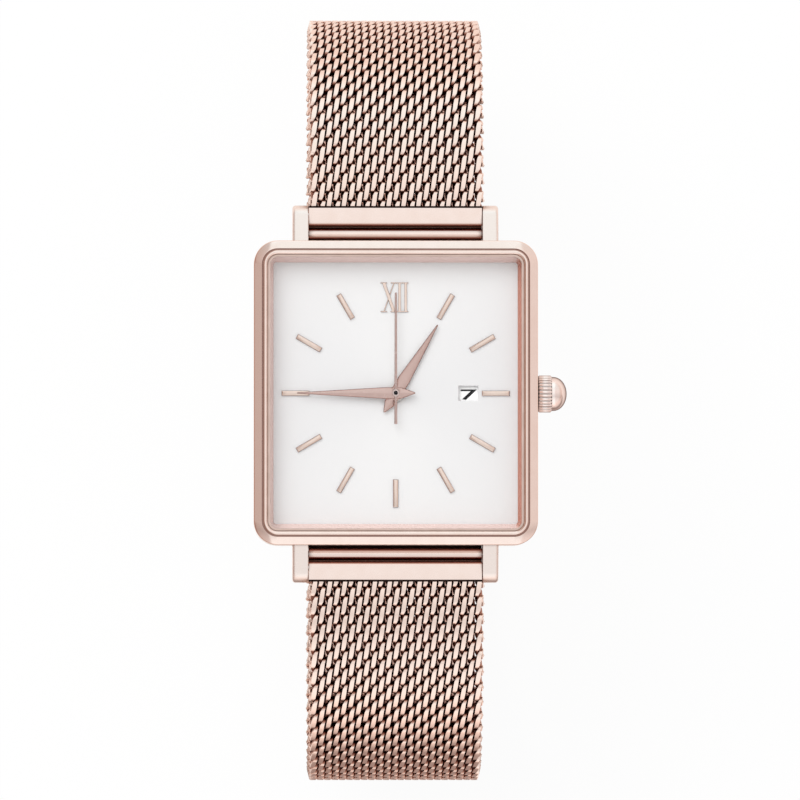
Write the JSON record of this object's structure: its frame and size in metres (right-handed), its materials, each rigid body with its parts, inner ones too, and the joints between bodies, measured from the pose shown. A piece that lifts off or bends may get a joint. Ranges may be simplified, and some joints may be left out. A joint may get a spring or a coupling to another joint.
{
  "type": "analog wristwatch",
  "caption": "Square-cased quartz wristwatch with dauphine hands, bar markers and a date window, on a woven wire band closed by a sliding clasp.",
  "frame": {"origin": "on the outer face of the closed clasp's flap, straight under the centre of the dial", "axes": "+Z is the way the dial faces, +Y is twelve o'clock, +X is the crown's side"},
  "size_m": [0.0285, 0.0712, 0.0421],
  "materials": {
    "rose_polished": "polished rose-gold plated steel",
    "rose_satin": "satin rose-gold plated steel",
    "mesh_wire": "woven rose-gold plated steel wire",
    "sapphire": "clear flat crystal",
    "gasket_pale": "translucent polymer",
    "dial_silver": "silver sunray",
    "marker_rose": "polished rose gold",
    "hand_rose": "polished rose gold",
    "plain_steel": "fine brushed",
    "plate_nickel": "nickel plated",
    "train_brass": "stamped",
    "movement_plastic": "moulded",
    "board_green": "lacquered board",
    "coil_copper": "enamelled copper winding",
    "cell_steel": "battery can",
    "seal_rubber": "soft",
    "date_white": "printed white ring"
  },
  "bodies": {
    "case": {"case_middle": "rose_satin", "bezel": "rose_polished", "crystal": "sapphire", "crystal_gasket": "gasket_pale", "dial_flange": "rose_polished", "dial": "dial_silver", "hour_markers": "marker_rose", "numeral_twelve": "marker_rose", "movement_holder": "movement_plastic", "case_back": "plain_steel", "back_gasket": "seal_rubber", "crown_tube": "plain_steel", "spring_bar_12": "plain_steel", "spring_bar_6": "plain_steel", "main_plate": "plate_nickel", "train_bridge": "train_brass", "circuit_board": "board_green", "battery": "cell_steel", "battery_clamp": "plain_steel", "coil": "coil_copper", "stator": "plain_steel", "quartz_can": "plain_steel"},
    "crown_seal": {"crown_gasket": "seal_rubber"},
    "crown_unit": {"crown": "rose_polished", "winding_stem": "plain_steel"},
    "second_unit": {"second_hand": "hand_rose", "second_wheel": "train_brass"},
    "minute_unit": {"minute_hand": "hand_rose", "centre_wheel": "train_brass"},
    "hour_unit": {"hour_hand": "hand_rose", "hour_wheel": "train_brass"},
    "third_unit": {"third_wheel": "train_brass"},
    "fifth_unit": {"fifth_wheel": "train_brass"},
    "rotor_unit": {"rotor": "plate_nickel"},
    "minute_wheel_unit": {"minute_wheel": "train_brass"},
    "date_wheel_unit": {"date_wheel": "movement_plastic"},
    "date_ring_unit": {"date_ring": "date_white"},
    "band_12_1": {"mesh_12_1": "mesh_wire", "end_piece_12": "rose_satin"},
    "band_6_1": {"mesh_6_1": "mesh_wire", "end_piece_6": "rose_satin"},
    "band_12_2": {"mesh_12_2": "mesh_wire"},
    "band_6_2": {"mesh_6_2": "mesh_wire"},
    "band_12_3": {"mesh_12_3": "mesh_wire"},
    "band_6_3": {"mesh_6_3": "mesh_wire"},
    "band_12_4": {"mesh_12_4": "mesh_wire"},
    "band_6_4": {"mesh_6_4": "mesh_wire"},
    "band_12_5": {"mesh_12_5": "mesh_wire"},
    "band_6_5": {"mesh_6_5": "mesh_wire"},
    "band_12_6": {"mesh_12_6": "mesh_wire"},
    "band_6_6": {"mesh_6_6": "mesh_wire"},
    "band_12_7": {"mesh_12_7": "mesh_wire", "hook_end": "rose_satin"},
    "band_6_7": {"mesh_6_7": "mesh_wire", "mesh_end_cap": "rose_satin"},
    "slider": {"slider_frame": "rose_satin", "catch_bar": "plain_steel", "flap_pin": "plain_steel"},
    "flap": {"locking_flap": "rose_satin"}
  },
  "joints": [
    {"name": "crown_pull", "type": "slide", "parent": "case", "child": "crown_seal", "axis": [1, 0, 0], "range_m": [0, 0.0006]},
    {"name": "crown_turn", "type": "hinge", "parent": "crown_seal", "child": "crown_unit", "pos_m": [0.01305, 0, 0.03804], "axis": [1, 0, 0], "continuous": true},
    {"name": "second_turn", "type": "hinge", "parent": "case", "child": "second_unit", "pos_m": [0, 0, 0.03814], "axis": [0, 0, -1], "continuous": true},
    {"name": "minute_turn", "type": "hinge", "parent": "case", "child": "minute_unit", "pos_m": [0, 0, 0.03814], "axis": [0, 0, -1], "continuous": true},
    {"name": "hour_turn", "type": "hinge", "parent": "case", "child": "hour_unit", "pos_m": [0, 0, 0.03814], "axis": [0, 0, -1], "continuous": true},
    {"name": "third_turn", "type": "hinge", "parent": "case", "child": "third_unit", "pos_m": [-0.00168, 0.00168, 0.03814], "axis": [0, 0, -1], "continuous": true},
    {"name": "fifth_turn", "type": "hinge", "parent": "case", "child": "fifth_unit", "pos_m": [0.00216, 0.00125, 0.03814], "axis": [0, 0, -1], "continuous": true},
    {"name": "rotor_turn", "type": "hinge", "parent": "case", "child": "rotor_unit", "pos_m": [0.00382, 0.00096, 0.03814], "axis": [0, 0, -1], "continuous": true},
    {"name": "minute_wheel_turn", "type": "hinge", "parent": "case", "child": "minute_wheel_unit", "pos_m": [-0.0018, -0.00066, 0.03814], "axis": [0, 0, -1], "continuous": true},
    {"name": "date_wheel_turn", "type": "hinge", "parent": "case", "child": "date_wheel_unit", "pos_m": [0.0023, 0.00193, 0.03814], "axis": [0, 0, -1], "continuous": true},
    {"name": "date_ring_turn", "type": "hinge", "parent": "case", "child": "date_ring_unit", "pos_m": [0, 0, 0.03814], "axis": [0, 0, -1], "continuous": true},
    {"name": "band_12_pivot", "type": "hinge", "parent": "case", "child": "band_12_1", "pos_m": [0, 0.0147, 0.03794], "axis": [1, 0, 0], "range_deg": [0, 20]},
    {"name": "band_12_flex_1", "type": "hinge", "parent": "band_12_1", "child": "band_12_2", "pos_m": [0, 0.02612, 0.03558], "axis": [1, 0, 0], "range_deg": [0, 27]},
    {"name": "band_12_flex_2", "type": "hinge", "parent": "band_12_2", "child": "band_12_3", "pos_m": [0, 0.03258, 0.02912], "axis": [1, 0, 0], "range_deg": [0, 27]},
    {"name": "band_12_flex_3", "type": "hinge", "parent": "band_12_3", "child": "band_12_4", "pos_m": [0, 0.03495, 0.0203], "axis": [1, 0, 0], "range_deg": [0, 27]},
    {"name": "band_12_flex_4", "type": "hinge", "parent": "band_12_4", "child": "band_12_5", "pos_m": [0, 0.03258, 0.01147], "axis": [1, 0, 0], "range_deg": [0, 27]},
    {"name": "band_12_flex_5", "type": "hinge", "parent": "band_12_5", "child": "band_12_6", "pos_m": [0, 0.02612, 0.00501], "axis": [1, 0, 0], "range_deg": [0, 27]},
    {"name": "band_12_flex_6", "type": "hinge", "parent": "band_12_6", "child": "band_12_7", "pos_m": [0, 0.0173, 0.00265], "axis": [1, 0, 0], "range_deg": [0, 27]},
    {"name": "band_6_pivot", "type": "hinge", "parent": "case", "child": "band_6_1", "pos_m": [0, -0.0147, 0.03794], "axis": [-1, 0, 0], "range_deg": [0, 20]},
    {"name": "band_6_flex_1", "type": "hinge", "parent": "band_6_1", "child": "band_6_2", "pos_m": [0, -0.02612, 0.03558], "axis": [-1, 0, 0], "range_deg": [0, 27]},
    {"name": "band_6_flex_2", "type": "hinge", "parent": "band_6_2", "child": "band_6_3", "pos_m": [0, -0.03258, 0.02912], "axis": [-1, 0, 0], "range_deg": [0, 27]},
    {"name": "band_6_flex_3", "type": "hinge", "parent": "band_6_3", "child": "band_6_4", "pos_m": [0, -0.03495, 0.0203], "axis": [-1, 0, 0], "range_deg": [0, 27]},
    {"name": "band_6_flex_4", "type": "hinge", "parent": "band_6_4", "child": "band_6_5", "pos_m": [0, -0.03258, 0.01147], "axis": [-1, 0, 0], "range_deg": [0, 27]},
    {"name": "band_6_flex_5", "type": "hinge", "parent": "band_6_5", "child": "band_6_6", "pos_m": [0, -0.02612, 0.00501], "axis": [-1, 0, 0], "range_deg": [0, 27]},
    {"name": "band_6_flex_6", "type": "hinge", "parent": "band_6_6", "child": "band_6_7", "pos_m": [0, -0.0173, 0.00265], "axis": [-1, 0, 0], "range_deg": [0, 27]},
    {"name": "slider_move", "type": "slide", "parent": "band_6_7", "child": "slider", "axis": [0, -1, 0], "range_m": [0, 0.005]},
    {"name": "flap_turn", "type": "hinge", "parent": "slider", "child": "flap", "pos_m": [0, -0.0074, 0.00115], "axis": [-1, 0, 0], "range_deg": [0, 95]}
  ],
  "couplings": [
    {"joint": "minute_turn", "follows": "second_turn", "ratio": 0.016667},
    {"joint": "hour_turn", "follows": "second_turn", "ratio": 0.0013889},
    {"joint": "third_turn", "follows": "second_turn", "ratio": -0.13333},
    {"joint": "fifth_turn", "follows": "second_turn", "ratio": -5},
    {"joint": "rotor_turn", "follows": "second_turn", "ratio": 30},
    {"joint": "minute_wheel_turn", "follows": "second_turn", "ratio": -0.0055556},
    {"joint": "date_wheel_turn", "follows": "second_turn", "ratio": -0.00069444},
    {"joint": "date_ring_turn", "follows": "second_turn", "ratio": -0.000022401}
  ]
}
